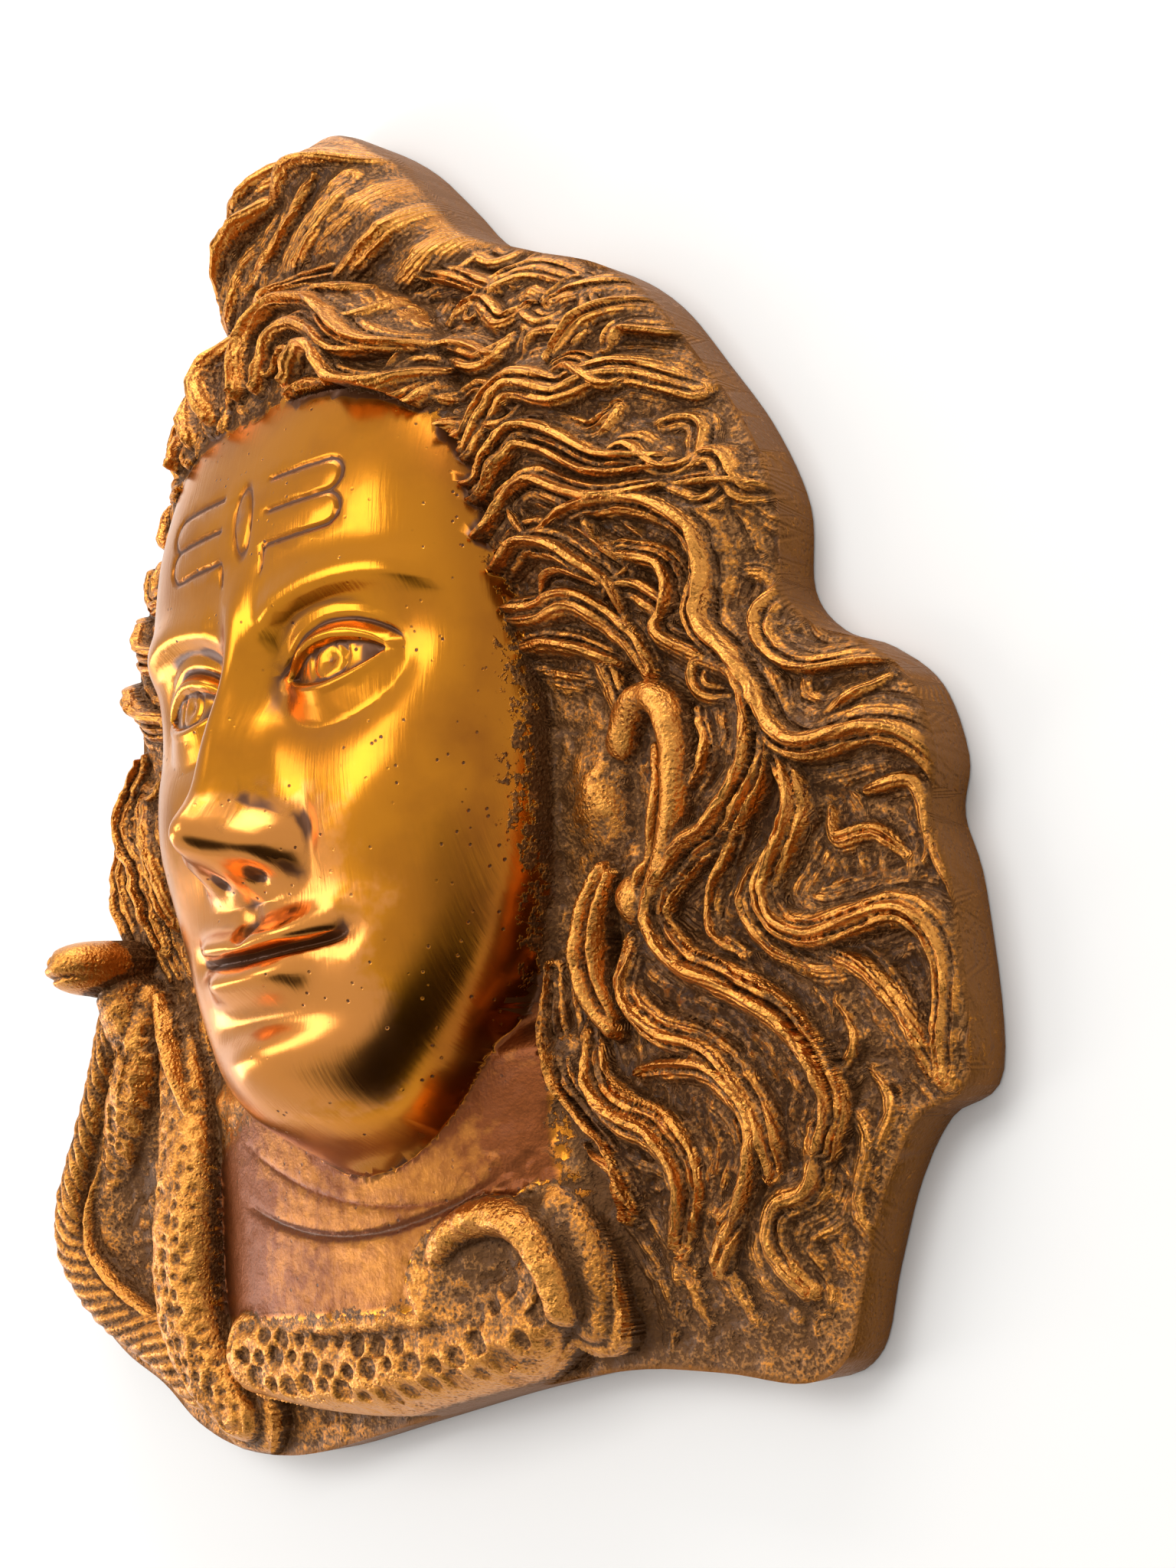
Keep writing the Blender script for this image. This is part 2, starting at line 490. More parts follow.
# Cobra at the viewer's left and the snake round the neck, as (half width, heights along it, points)
snake = {
    "coil": (9.2, (6.5, 7.0, 6.5),
             ((-39, -98), (-24, -100), (-5, -102), (14, -101), (27, -97), (36, -91))),
    "rise": (8.6, (4.0, 6.5, 8.5, 8.5, 7.0),
             ((-63, -36), (-60, -50), (-59, -62), (-60, -74), (-61, -86), (-58, -98), (-50, -110))),
    "fold": (2.2, (6.0, 7.0, 6.0), ((-66, -28), (-61, -38), (-57, -48), (-54, -58))),
    "tail": (4.2, (4.0, 8.5, 9.5, 8.5),
             ((9, -95), (12, -88), (19, -81), (28, -78), (36, -80), (41, -87), (42, -94))),
    "tailBack": (6.5, (1.5, 4.0, 4.5, 3.0),
                 ((15, -82), (22, -77), (31, -75), (39, -79), (44, -86), (45, -96))),
    "hoodBody": (14.0, (9.0, 6.5, 6.0), ((-76, -26), (-79, -38), (-84, -52), (-88, -66), (-85, -82))),
    "hoodEdge": (6.0, (11.0, 10.0, 8.0, 8.0, 8.0),
                 ((-80, -29), (-86, -38), (-92, -48), (-98, -58), (-102, -67), (-102, -76), (-95, -85),
                  (-86, -91), (-74, -97), (-64, -104))),
    "hoodStrip": (7.0, (11.0, 10.0, 8.0), ((-72, -28), (-75, -40), (-81, -52), (-88, -62))),
    "hoodLip": (1.5, (5.5, 6.0, 5.5), ((-90, -58), (-95, -67), (-95, -76), (-88, -84), (-77, -91))),
    "throat": (7.0, (15.0, 12.0, 8.0), ((-76, -22), (-76, -30), (-78, -40))),
    # hollows, places where patina lies thick, and the head: middle, then half width and half height
    "tailHollow": (26, -88, 9, 6),
    "tailHollowDepth": 1.6,
    "hollow": (-80, -72, 9, 14),
    "hollowDepth": 5.5,
    "darkSpots": ((26, -87, 7, 6), (48, -83, 8, 13), (-80, -72, 9, 14), (62, -101, 26, 7)),
    "head": (-78, -20.5, 8.2, 5.6),
    "headTop": 25.0,
}


def laySnake(z, x, y):
    low = np.full(len(x), rim)
    layRidge(z, low + 7.0, x, y, snake["coil"], taper=0.15, flat=4.0, dressing=pitted(5.2, 1.9, 0.85))
    layRidge(z, low + 5.0, x, y, snake["rise"], taper=0.5, flat=3.2, dressing=pitted(3.6, 1.0, 0.5, 2.0))
    layRidge(z, low + 5.0, x, y, snake["fold"], taper=0.5)
    z -= snake["tailHollowDepth"] * hill(x, y, *snake["tailHollow"])
    layRidge(z, low + 7.0, x, y, snake["tailBack"], taper=0.5)
    layRidge(z, low + 8.0, x, y, snake["tail"], taper=0.35, dressing=pitted(2.4, 0.5, 0.3, 1.0))
    layRidge(z, low, x, y, snake["hoodBody"], taper=0.4, flat=3.0)
    layRidge(z, low + 1.0, x, y, snake["hoodStrip"], taper=0.3, flat=2.6, dressing=pitted(3.2, 1.5, 0.6, 3.0))
    layRidge(z, low + 0.5, x, y, snake["hoodEdge"], taper=0.1, flat=3.2, dressing=ribbed(4.2, 0.85, -1.3))
    z -= snake["hollowDepth"] * hill(x, y, *snake["hollow"])
    layRidge(z, low + 1.5, x, y, snake["hoodLip"], taper=0.3)
    layRidge(z, low + 1.0, x, y, snake["throat"], taper=0.2, flat=2.4, dressing=ribbed(3.3, 0.4, 0.4))
    cx, cy, rx, ry = snake["head"]
    snout = dome(x, y, cx, cy, rx, ry, 8)
    top = rim + 3 + (snake["headTop"] - 3) * snout**0.5
    mouthCut = 1.4 * crease(y - cy + 2.2, 0.6) + 0.5 * crease(np.hypot(x - cx + 1.5, y - cy - 1.6) - 1.3, 0.5)
    z[:] = np.maximum(z, np.where(snout > 0, top - mouthCut, 0))


# Ear beside the temple with a long looped earring
ear = {
    "helix": (3.2, (2.5, 6.5, 7.0, 6.5, 5.5),
              ((65, -4), (68, 0), (73, 2), (77, -1), (78, -8), (77, -15), (74, -22), (70, -28), (65, -32))),
    "fold": (1.6, (3.5, 5.0, 4.0), ((72.5, -6), (72.5, -13), (70, -20), (66.5, -26))),
    "bowl": (70, -13, 8, 15),  # hair is cleared from here
    "cheek": (58, -12, 7.0, 9.0),
    "canal": (65, -14, 2.6, 7.0),
    "lobe": (64, -30, 4.4, 5.0),
    "bars": (
        (2.6, (7.0, 8.0, 7.5), ((58, -24), (54, -30), (52, -38), (53, -45), (56, -50))),
        (1.6, (7.0, 8.0, 7.0), ((60, -25), (57, -32), (55.5, -40), (57, -48))),
    ),
}


def layEar(z, floor, x, y):
    bowl = ease(0.40, 0.75, hill(x, y, *ear["bowl"]))
    z[:] = z * (1 - bowl) + (floor - 0.5) * bowl
    z[:] = blendMax(z, floor - 1 + 4.5 * hill(x, y, *ear["cheek"]), 2.5)
    z -= 1.8 * hill(x, y, *ear["canal"])
    lobe = dome(x, y, *ear["lobe"])
    z[:] = np.maximum(z, np.where(lobe > 0, floor + 6.5 * lobe, 0))
    layRidge(z, floor + 0.5, x, y, ear["helix"], taper=0.15)
    layRidge(z, floor, x, y, ear["fold"], taper=0.4)
    for bar in ear["bars"]:
        layRidge(z, floor, x, y, bar, taper=0.3)


# Height of the carving, the marks that its finish follows, and where it is too plain to hold grime
def carvedFront(x, y):
    inside = edgeDistance(x, y)
    base = plainForms(x, y, inside)
    z = base.copy()
    floor = hairFloor(y, inside)
    floor = np.where(pastHairline(x, y) > 0, np.maximum(floor, headForm(x, y, inside)), floor)
    strand = np.zeros(len(x))
    knotFloor = knotForm(x, y)
    for i, (half, lift, strands, points) in enumerate(lockBeds()):
        layLock(z, strand, floor, x, y, (half, relief * lift, strands, points), i + 5, 0.7, grooves=0.36)
    for i, (half, lift, strands, points) in enumerate(underLocks()):
        layLock(z, strand, floor, x, y, (half, relief * lift, strands, points), i, 0.5, grooves=0.45)
    for i, (half, lift, strands, points) in enumerate(sideLocks):
        layLock(z, strand, floor, x, y, (half, 1.08 * relief * lift + 1, strands, points), i, 0.45)
    for i, (half, lift, strands, points) in enumerate(topknotLocks()):
        layLock(z, strand, knotFloor, x, y, (half, relief * 0.75 * lift, strands, points), i, 0.6)
    lift = z - base
    grainy = 0.28 * lumps(x, y, 1.4, 1) + 0.34 * lumps(x, y, 3.0, 2) + 0.40 * lumps(x, y, 7.0, 3)
    z = z + grainy - 2.0 * hill(x, y, -6, 127, 4, 12)  # the valley in the topknot's upper edge

    # the bare face: locks grow out of it at the temples, and it ends softly at the hairline
    side = np.abs(x - head["middle"])
    out = faceEgg(x, y)[1]
    cheeks = 2.6 * hill(side, y, 29, noseBase + 13, 14, 14)
    markX = x - head["middle"] - 1.0
    features = nose(side, y) + eyes(side, y) + mouth(side, y) + cheeks
    engraved = foreheadMark(np.abs(markX), y) * (out < 1)
    handWork = 0.05 * lumps(x, y, 7.0, 16) + 0.02 * lumps(x, y, 2.6, 17)
    handWork = handWork + 0.07 * lumps(x, y, 1.1, 18) * ease(0.90, 0.97, out)
    features = features * ease(1.0, 0.8, out) * (out < 1)
    face = base + features - foreheadLines["depth"] * engraved + handWork
    ragged = 2.5 * lumps(x, y, 6.0, 7) + 1.2 * lumps(x, y, 2.2, 10)
    bareFace = (base > rim) * ease(1.6, -2.2, pastHairline(x, y) + 0.5 * ragged)
    edge = 0.08 * ease(-34, -8, y)  # beside the ear the polish fades out over a wider band
    bareFace = bareFace * ease(1.03, 0.97 - edge, out + 0.004 * ragged)
    neckEdge = np.minimum(47 + ragged - x, x + 58) / 7
    onNeck = np.clip(neckEdge, 0, 1) * ease(-95, -89, y) * ease(-34, -50, y + 0.5 * ragged - 0.25 * (x - 20))
    bare = np.maximum(bareFace, onNeck)
    hairy = z - 5 * (1 - ease(0.10, 1.3, lift))
    z = z * (1 - bare) + np.maximum(face, hairy) * bare
    polish = bare * ease(0.7, 0.2, z - face)
    neck = np.where(out > 1.01, onNeck, 0)

    fold = np.minimum(np.abs(y + 79 - 0.0065 * (x + 2) ** 2), np.abs(y + 75 - 0.0060 * (x - 14) ** 2) + 0.6)
    fold = crease(fold, 0.7) * ease(44, 22, np.abs(x + 2)) * (bareFace < 0.5) * (y < -60)
    z = z - 0.7 * fold
    before = z.copy()
    laySnake(z, x, y)
    layEar(z, hairFloor(y, inside), x, y)
    laid = np.abs(z - before) > 0.05
    polish, strand, neck = (np.where(laid, 0.0, mark) for mark in (polish, strand, neck))
    z = z + np.where(laid, 0.18 * lumps(x, y, 1.3, 8) + 0.26 * lumps(x, y, 2.8, 9), 0)
    rough = hill(x, y, 36, -76, 13, 8) + hill(x, y, *snake["tailHollow"]) + hill(x, y, *snake["hollow"])
    z = z + np.clip(rough, 0, 1) * (0.35 * lumps(x, y, 1.6, 14) + 0.45 * lumps(x, y, 3.4, 15))

    rounding = np.sqrt(1 - (1 - np.clip(inside / 9.0, 0, 1)) ** 2)
    shade = ease(0.78, 1.0, out + 0.012 * ragged) * (y < 60) + 0.5 * ease(-34, -62, y)
    rubbed = ease(30, 14, side + 2.0 * ragged) * ease(2, -14, y + ragged) * ease(-66, -54, y + ragged)
    underJaw = ease(1.30, 1.0, out + 0.03 * ragged)
    besideNeck = np.maximum(underJaw, ease(14, 46, np.abs(x + 1 + ragged)))
    shade = (shade - 1.5 * rubbed) * (1 - neck) + besideNeck * neck
    cut = engraved * bareFace + 0.8 * fold
    shade = np.clip(shade, -1, 1) * (1 - cut) + 2 * cut
    # off the bare metal, shade is where patina lies thick, and less than none on the tail's rubbed crest
    dark = np.clip(sum(hill(x, y, *spot) for spot in snake["darkSpots"]), 0, 1)
    near, _, aside, _ = alongPath(x, y, snake["tail"][2], 2.6)
    dark[near] = -ease(2.6, 0.8, np.abs(aside))
    shade = np.where(laid, dark, shade * bare + dark * (1 - bare))
    marks = {"polish": polish, "neck": neck, "strand": strand, "shade": shade, "inward": inside}
    calm = np.maximum(neck, ease(0.92, 0.98, out) * (bareFace > 0.2))
    return rim + (z - rim) * rounding, marks, calm


def hollowBack(x, y):
    z = np.full(len(x), np.inf)
    inside = edgeDistance(x, y)
    for ring in (0.0, 0.55, 1.0):
        for turn in np.linspace(0, 2 * math.pi, 8 if ring else 1, endpoint=False):
            dx, dy = ring * wall * math.cos(turn), ring * wall * math.sin(turn)
            forms = plainForms(x + dx, y + dy, np.maximum(inside - ring * wall, 0))
            kept = head["carving"] * ease(rim + 21, rim + 29, forms)
            z = np.minimum(z, forms - wall * math.sqrt(1 - ring * ring) - kept)
    return np.clip(z, 0.35 * rim, None)


# A square grid bent to fill the casting's outline
def roundGrid(steps, inset):
    s = np.linspace(-1, 1, steps + 1)
    a, b = np.meshgrid(s, s)
    u, v = (a * np.sqrt(1 - b * b / 2)).ravel(), (b * np.sqrt(1 - a * a / 2)).ravel()
    angle = np.arctan2(v, u)
    reach = np.hypot(u, v) * edgeRadius(angle, inset)
    return reach * np.cos(angle), reach * np.sin(angle)


def gridBorder(steps):
    n = steps + 1
    return np.concatenate([np.arange(steps), np.arange(steps) * n + steps,
                           steps * n + steps - np.arange(steps), (steps - np.arange(steps)) * n])


def gridFaces(steps):
    index = np.arange((steps + 1) ** 2).reshape(steps + 1, steps + 1)
    return np.stack([index[:-1, :-1], index[:-1, 1:], index[1:, 1:], index[1:, :-1]], -1).reshape(-1, 4)


# The grid field averaged over a square of the given half width, twice over
def smoothed(field, radius):
    for _ in range(2):
        for axis in (0, 1):
            padded = np.pad(field, [(radius + 1, radius) if a == axis else (0, 0) for a in (0, 1)], "edge")
            total = np.cumsum(padded, axis=axis)
            size = 2 * radius + 1
            ahead = np.take(total, np.arange(size, total.shape[axis]), axis=axis)
            behind = np.take(total, np.arange(0, total.shape[axis] - size), axis=axis)
            field = (ahead - behind) / size
    return field


# Triangles and quads of the closed casting: front, upright rim, flat land and hollow back
def castFaces(frontSteps, backSteps):
    frontCount, backCount = (frontSteps + 1) ** 2, (backSteps + 1) ** 2
    border, backBorder = gridBorder(frontSteps), gridBorder(backSteps) + frontCount
    ring = len(border)
    footOuter = np.arange(ring) + frontCount + backCount
    footInner = footOuter + ring
    quads = [gridFaces(frontSteps), gridFaces(backSteps)[:, ::-1] + frontCount]
    for outer, inner in ((border, footOuter), (footOuter, footInner)):
        quads.append(np.stack([outer, inner, np.roll(inner, -1), np.roll(outer, -1)], -1))
    each = frontSteps // backSteps
    coarse = np.repeat(backBorder, each)
    ahead = np.roll(coarse, -(each // 2))
    nearest = np.where(np.arange(ring) % each < each // 2, coarse, ahead)
    following = np.roll(nearest, -1)
    nextFoot = np.roll(footInner, -1)
    tris = [np.stack([footInner, nearest, nextFoot], -1)]
    step = nearest != following
    tris.append(np.stack([nearest, following, nextFoot], -1)[step])
    return np.vstack(quads), np.vstack(tris)


def buildCasting():
    steps, backSteps = casting["gridSteps"], casting["hollowSteps"]
    x, y = roundGrid(steps, 0.0)
    z, marks, calm = carvedFront(x, y)
    print("shiva mask: front carved,", len(x), "points")
    backX, backY = roundGrid(backSteps, casting["land"] / unit)
    backZ = hollowBack(backX, backY)
    border = gridBorder(steps)
    innerX, innerY = roundGrid(steps, casting["land"] / unit)
    foot = np.stack([x[border], y[border], 0 * x[border]], 1)
    footInner = np.stack([innerX[border], innerY[border], 0 * x[border]], 1)
    points = np.vstack([np.stack([x, y, z], 1), np.stack([backX, backY, backZ], 1), foot, footInner])
    points[:, :2] -= middle
    points = np.round(points * unit / 1000, 7)

    field = z.reshape(steps + 1, steps + 1)
    narrow, wide = 3, 9  # half widths, in grid steps, of what counts as a crest and as a hollow
    fine, broad = field - smoothed(field, narrow), field - smoothed(field, wide)
    shown = points[:len(x)].reshape(steps + 1, steps + 1, 3)
    normals = np.cross(np.gradient(shown, axis=1), np.gradient(shown, axis=0)).reshape(-1, 3)
    normals /= np.linalg.norm(normals, axis=1, keepdims=True)
    marks["polish"] = smoothed(marks["polish"].reshape(field.shape), 1).ravel()
    marks["crest"], marks["hollow"] = fine.ravel() * (1 - calm), broad.ravel() * (1 - calm)
    for column, name in enumerate(("normalX", "normalY", "normalZ")):
        marks[name] = normals[:, column]

    quads, tris = castFaces(steps, backSteps)
    corners = np.concatenate([quads.ravel(), tris.ravel()]).astype(np.int32)
    starts = np.concatenate([np.arange(0, quads.size, 4), quads.size + np.arange(0, tris.size, 3)])
    mesh = bpy.data.meshes.new("shivaMask")
    mesh.vertices.add(len(points))
    mesh.vertices.foreach_set("co", points.ravel().astype(np.float32))
    mesh.loops.add(len(corners))
    mesh.loops.foreach_set("vertex_index", corners)
    mesh.polygons.add(len(starts))
    mesh.polygons.foreach_set("loop_start", starts.astype(np.int32))
    mesh.update(calc_edges=True)
    for name, values in marks.items():
        layer = mesh.attributes.new(name, "FLOAT", "POINT")
        whole = np.zeros(len(points), np.float32)
        whole[:len(x)] = values
        layer.data.foreach_set("value", whole)
    return mesh


# The same casting with its flatter places in fewer triangles
def thinned(mesh):
    dense = bpy.data.objects.new("denseMask", mesh)
    bpy.context.scene.collection.objects.link(dense)
    thin = dense.modifiers.new("Thin", "DECIMATE")
    thin.ratio = casting["triangles"] / (len(mesh.loops) - 2 * len(mesh.polygons))
    thin.use_collapse_triangulate = True
    bpy.context.view_layer.update()
    graph = bpy.context.evaluated_depsgraph_get()
    result = bpy.data.meshes.new_from_object(dense.evaluated_get(graph))
    bpy.data.objects.remove(dense)
    return result


# Shades the front by the carving's own slopes, and the rim and hollow by their faces
def carvedNormals(mesh):
    count = len(mesh.vertices)
    normals = np.empty((count, 3), np.float32)
    for column, name in enumerate(("normalX", "normalY", "normalZ")):
        values = np.empty(count, np.float32)
        mesh.attributes[name].data.foreach_get("value", values)
        normals[:, column] = values
        mesh.attributes.remove(mesh.attributes[name])
    corner = np.empty(len(mesh.loops), np.int32)
    mesh.loops.foreach_get("vertex_index", corner)
    faceNormals = np.empty(len(mesh.polygons) * 3, np.float32)
    mesh.polygons.foreach_get("normal", faceNormals)
    faceNormals = np.repeat(faceNormals.reshape(-1, 3), 3, axis=0)
    chosen = normals[corner]
    length = np.linalg.norm(chosen, axis=1)
    chosen = chosen / np.maximum(length, 1e-6)[:, None]
    slopeMatch, flatMatch, footTop = 0.35, 0.75, 0.001  # the last is in metres above the table
    agrees = ((chosen * faceNormals).sum(1) > slopeMatch) & (length > 0.5)
    heights = np.empty(count * 3, np.float32)
    mesh.vertices.foreach_get("co", heights)
    low = heights.reshape(-1, 3)[:, 2] < footTop
    onFront = ~np.repeat(low[corner].reshape(-1, 3).any(axis=1), 3)
    vertexNormals = np.empty(count * 3, np.float32)
    mesh.vertices.foreach_get("normal", vertexNormals)
    plain = vertexNormals.reshape(-1, 3)[corner]
    plain = np.where(((plain * faceNormals).sum(1) > flatMatch)[:, None], plain, faceNormals)
    mesh.normals_split_custom_set(np.where((agrees & onFront)[:, None], chosen, plain).tolist())


def linear(hexColour):
    parts = [int(hexColour[i:i + 2], 16) / 255 for i in (1, 3, 5)]
    return tuple(c / 12.92 if c <= 0.04045 else ((c + 0.055) / 1.055) ** 2.4 for c in parts) + (1.0,)


# Adds a node with its settings, and sets its sockets, in order or by name, to values or to links
def addNode(tree, kind, place, sockets=(), output=0, **settings):
    node = tree.nodes.new("ShaderNode" + kind)
    node.location = place
    for name, value in settings.items():
        setattr(node, name, value)
    for socket, value in sockets.items() if isinstance(sockets, dict) else enumerate(sockets):
        if isinstance(value, bpy.types.NodeSocket):
            tree.links.new(value, node.inputs[socket])
        else:
            node.inputs[socket].default_value = value
    return node.outputs[output]


# Settings that many nodes share
softStep = {"interpolation_type": "SMOOTHSTEP"}
add, subtract = {"operation": "ADD"}, {"operation": "SUBTRACT"}
multiply, larger = {"operation": "MULTIPLY"}, {"operation": "MAXIMUM"}
ofColours, ofNumbers = {"data_type": "RGBA"}, {"data_type": "FLOAT"}


# Brass as the photo shows it: what each colour is on the real casting
brassLook = {
    "facePolished": "#D2841E",  # rubbed face
    "faceWarm": "#A4601A",  # the same metal where it has toned
    "faceRubbed": "#E0924A",  # paler where hands rub it, round the mouth and chin
    "faceGrime": "#5E3410",  # what collects along lids, lips and hairline
    "neckRubbed": "#B2722E",  # pinker metal of the neck, brushed across
    "neckWarm": "#743E1C",  # the neck where it has toned, towards the hair
    "crestBright": "#DB9342",  # crests of the hair, rubbed bare
    "hairMid": "#BE7930",  # toned flanks of the locks
    "recess": "#64401E",  # dark patina left between them
    "dust": "#9A6A3A",  # paler brown patina on the flats
    "rimBrown": "#80501E",  # filed edge, toned evenly
}

# Real sizes of its patterns in millimetres, and how its surface answers light
brassFinish = {
    "blotch": 18.2,  # clouds of toning on the face
    "grain": 2.38,  # lumps left by the mould's clay
    "speck": 0.667,  # sand grains, drawn as coarse as shows in the render
    "pock": 1.053,  # casting pits in the hair
    "pockCluster": 7.14,
    "pit": 2.5,  # fewer and larger pits on the face
    "pitCluster": 11.1,
    "brushing": (0.5, 9.1, 9.1),  # strokes of the polishing cloth: width, then length
    "strandPitch": 0.838,  # fine lines cut along the hair
    "patinaRoughness": 0.58,
    "crestRoughness": 0.33,
    "faceRoughness": (0.19, 0.27),
    "grimeRoughness": 0.22,  # added in grime, in pits and on the neck
    "patinaMetal": 0.82,
    "grimeMetal": 0.5,
    "coat": 0.1,
    "coatRoughness": 0.2,
    "bump": 0.7,
    "bumpDepth": 0.00018,
}


# Brass cast from a modelled wax, then filed and hand polished. It gives the eye a golden face that mirrors
# the room, copper crests on the hair, and between them a dull brown patina that reflects almost nothing
def antiqueBrass():
    material = bpy.data.materials.new("antique_brass")
    material.use_nodes = True
    tree = material.node_tree
    shader = tree.nodes["Principled BSDF"]
    colour = {name: linear(value) for name, value in brassLook.items()}
    place = addNode(tree, "TexCoord", (-1800, 0), output="Object")

    # marks left by the carving, and noises at their real sizes
    mark = {}
    for row, name in enumerate(("polish", "crest", "hollow", "strand", "inward", "shade", "neck")):
        mark[name] = addNode(tree, "Attribute", (-1400, 900 - 150 * row), output="Fac", attribute_name=name)
    noise = {}
    for name, detail, at in (("blotch", 4, 0), ("grain", 6, -200), ("speck", 3, -400),
                             ("pitCluster", 2, -1000), ("pockCluster", 3, -1250)):
        sockets = {"Vector": place, "Scale": 1000 / brassFinish[name], "Detail": detail}
        noise[name] = addNode(tree, "TexNoise", (-1400, at), sockets, "Fac")
    strokes = [1000 / size for size in brassFinish["brushing"]]
    brushed = addNode(tree, "Mapping", (-1600, -600), {"Vector": place, "Scale": strokes}, "Vector")
    sockets = {"Vector": brushed, "Scale": 1.0, "Detail": 5}
    brushing = addNode(tree, "TexNoise", (-1400, -600), sockets, "Fac")

    # casting pits lie in clusters: small ones in the hair, larger ones on the face
    sockets = {"Vector": place, "Scale": 1000 / brassFinish["pock"]}
    pock = addNode(tree, "TexVoronoi", (-1400, -1100), sockets, "Distance")
    pock = addNode(tree, "MapRange", (-1200, -1100), (pock, 0.42, 0.16), **softStep)
    sockets = (noise["pockCluster"], 0.40, 0.58, 0.15, 1.0)
    cluster = addNode(tree, "MapRange", (-1200, -1250), sockets, **softStep)
    pocked = addNode(tree, "Math", (-1000, -1100), (pock, cluster), **multiply)
    sockets = {"Vector": place, "Scale": 1000 / brassFinish["pit"]}
    pit = addNode(tree, "TexVoronoi", (-1400, -800), sockets, "Distance")
    pit = addNode(tree, "MapRange", (-1200, -800), (pit, 0.16, 0.06), **softStep)
    cluster = addNode(tree, "MapRange", (-1200, -950), (noise["pitCluster"], 0.46, 0.60), **softStep)
    pits = addNode(tree, "Math", (-1000, -800), (pit, cluster), **multiply)

    # patina is worn off the crests, unevenly, and stays in hollows, in pits and where shade is marked
    crestWear = addNode(tree, "MapRange", (-1200, 700), (mark["crest"], -0.28, 0.42, 0.0, 1.25), **softStep)
    openWear = addNode(tree, "MapRange", (-1200, 550), (mark["hollow"], -1.6, 2.2, 0.0, 0.8), **softStep)
    grainWear = addNode(tree, "MapRange", (-1200, 400), (noise["grain"], 0.2, 0.8, -0.28, 0.28), **softStep)
    speckWear = addNode(tree, "MapRange", (-1200, 300), (noise["speck"], 0.36, 0.64, -0.42, 0.42), **softStep)
    inPocks = addNode(tree, "Math", (-900, 700), (pocked, 0.6), **multiply)
    inShade = addNode(tree, "Math", (-900, 850), (mark["shade"], 0.7), **multiply)
    worn = addNode(tree, "Math", (-1000, 600), (crestWear, openWear), **add)
    worn = addNode(tree, "Math", (-850, 600), (worn, grainWear), **add)
    worn = addNode(tree, "Math", (-800, 600), (worn, speckWear), **add)
    worn = addNode(tree, "Math", (-750, 600), (worn, inPocks), **subtract)
    worn = addNode(tree, "Math", (-730, 600), (worn, inShade), **subtract)
    worn = addNode(tree, "Math", (-700, 600), (worn, 0.5), **multiply)
    hair = addNode(tree, "ValToRGB", (-500, 600), (worn,), "Color")
    stops = hair.node.color_ramp.elements
    for at, name in ((0.31, "dust"), (0.55, "hairMid")):
        stops.new(at).color = colour[name]
    stops[0].position, stops[0].color = 0.05, colour["recess"]
    stops[-1].position, stops[-1].color = 0.90, colour["crestBright"]

    # the face: toned in clouds and towards its edge, paler where it is handled
    clouds = addNode(tree, "MapRange", (-700, 300), (noise["blotch"], 0.35, 0.7, 0.0, 0.55), **softStep)
    toning = addNode(tree, "Math", (-600, 300), (clouds, mark["shade"]), use_clamp=True, **add)
    sockets = {0: toning, 6: colour["facePolished"], 7: colour["faceWarm"]}
    toned = addNode(tree, "Mix", (-500, 300), sockets, 2, **ofColours)
    handled = addNode(tree, "Math", (-800, 200), (mark["shade"], -1.0), **multiply)
    uneven = addNode(tree, "MapRange", (-850, 250), (noise["grain"], 0.3, 0.7, -0.25, 0.25), **softStep)
    handled = addNode(tree, "Math", (-700, 200), (handled, uneven), **add)
    handled = addNode(tree, "MapRange", (-600, 200), (handled, 0.2, 0.9, 0.0, 0.8), **softStep)
    sockets = {0: handled, 6: toned, 7: colour["faceRubbed"]}
    toned = addNode(tree, "Mix", (-450, 300), sockets, 2, **ofColours)

    # the neck: pinker and mottled
    onNeck = addNode(tree, "MapRange", (-700, 450), (mark["neck"], 0.3, 0.7), **softStep)
    mottle = addNode(tree, "MapRange", (-700, 380), (noise["grain"], 0.30, 0.70, 0.0, 0.5), **softStep)
    mottled = addNode(tree, "Math", (-550, 450), (toning, mottle), use_clamp=True, **add)
    sockets = {0: mottled, 6: colour["neckRubbed"], 7: colour["neckWarm"]}
    neck = addNode(tree, "Mix", (-500, 400), sockets, 2, **ofColours)
    toned = addNode(tree, "Mix", (-400, 300), {0: onNeck, 6: toned, 7: neck}, 2, **ofColours)

    # grime in the narrow and the broad hollows, in engraved lines and in pits
    deep = addNode(tree, "MapRange", (-900, 50), (mark["hollow"], -0.5, -2.2), **softStep)
    broken = addNode(tree, "MapRange", (-900, -50), (noise["grain"], 0.3, 0.6, 0.25, 0.9), **softStep)
    deep = addNode(tree, "Math", (-800, 50), (deep, broken), **multiply)
    engraved = addNode(tree, "MapRange", (-850, -100), (mark["shade"], 1.1, 1.6), **softStep)
    deep = addNode(tree, "Math", (-700, 0), (deep, engraved), **larger)
    narrow = addNode(tree, "MapRange", (-700, 100), (mark["crest"], -0.14, -0.42), **softStep)
    grime = addNode(tree, "Math", (-600, 100), (narrow, deep), **larger)
    dirt = addNode(tree, "Math", (-500, 0), (grime, pits), **larger)
    face = addNode(tree, "Mix", (-300, 200), {0: dirt, 6: toned, 7: colour["faceGrime"]}, 2, **ofColours)

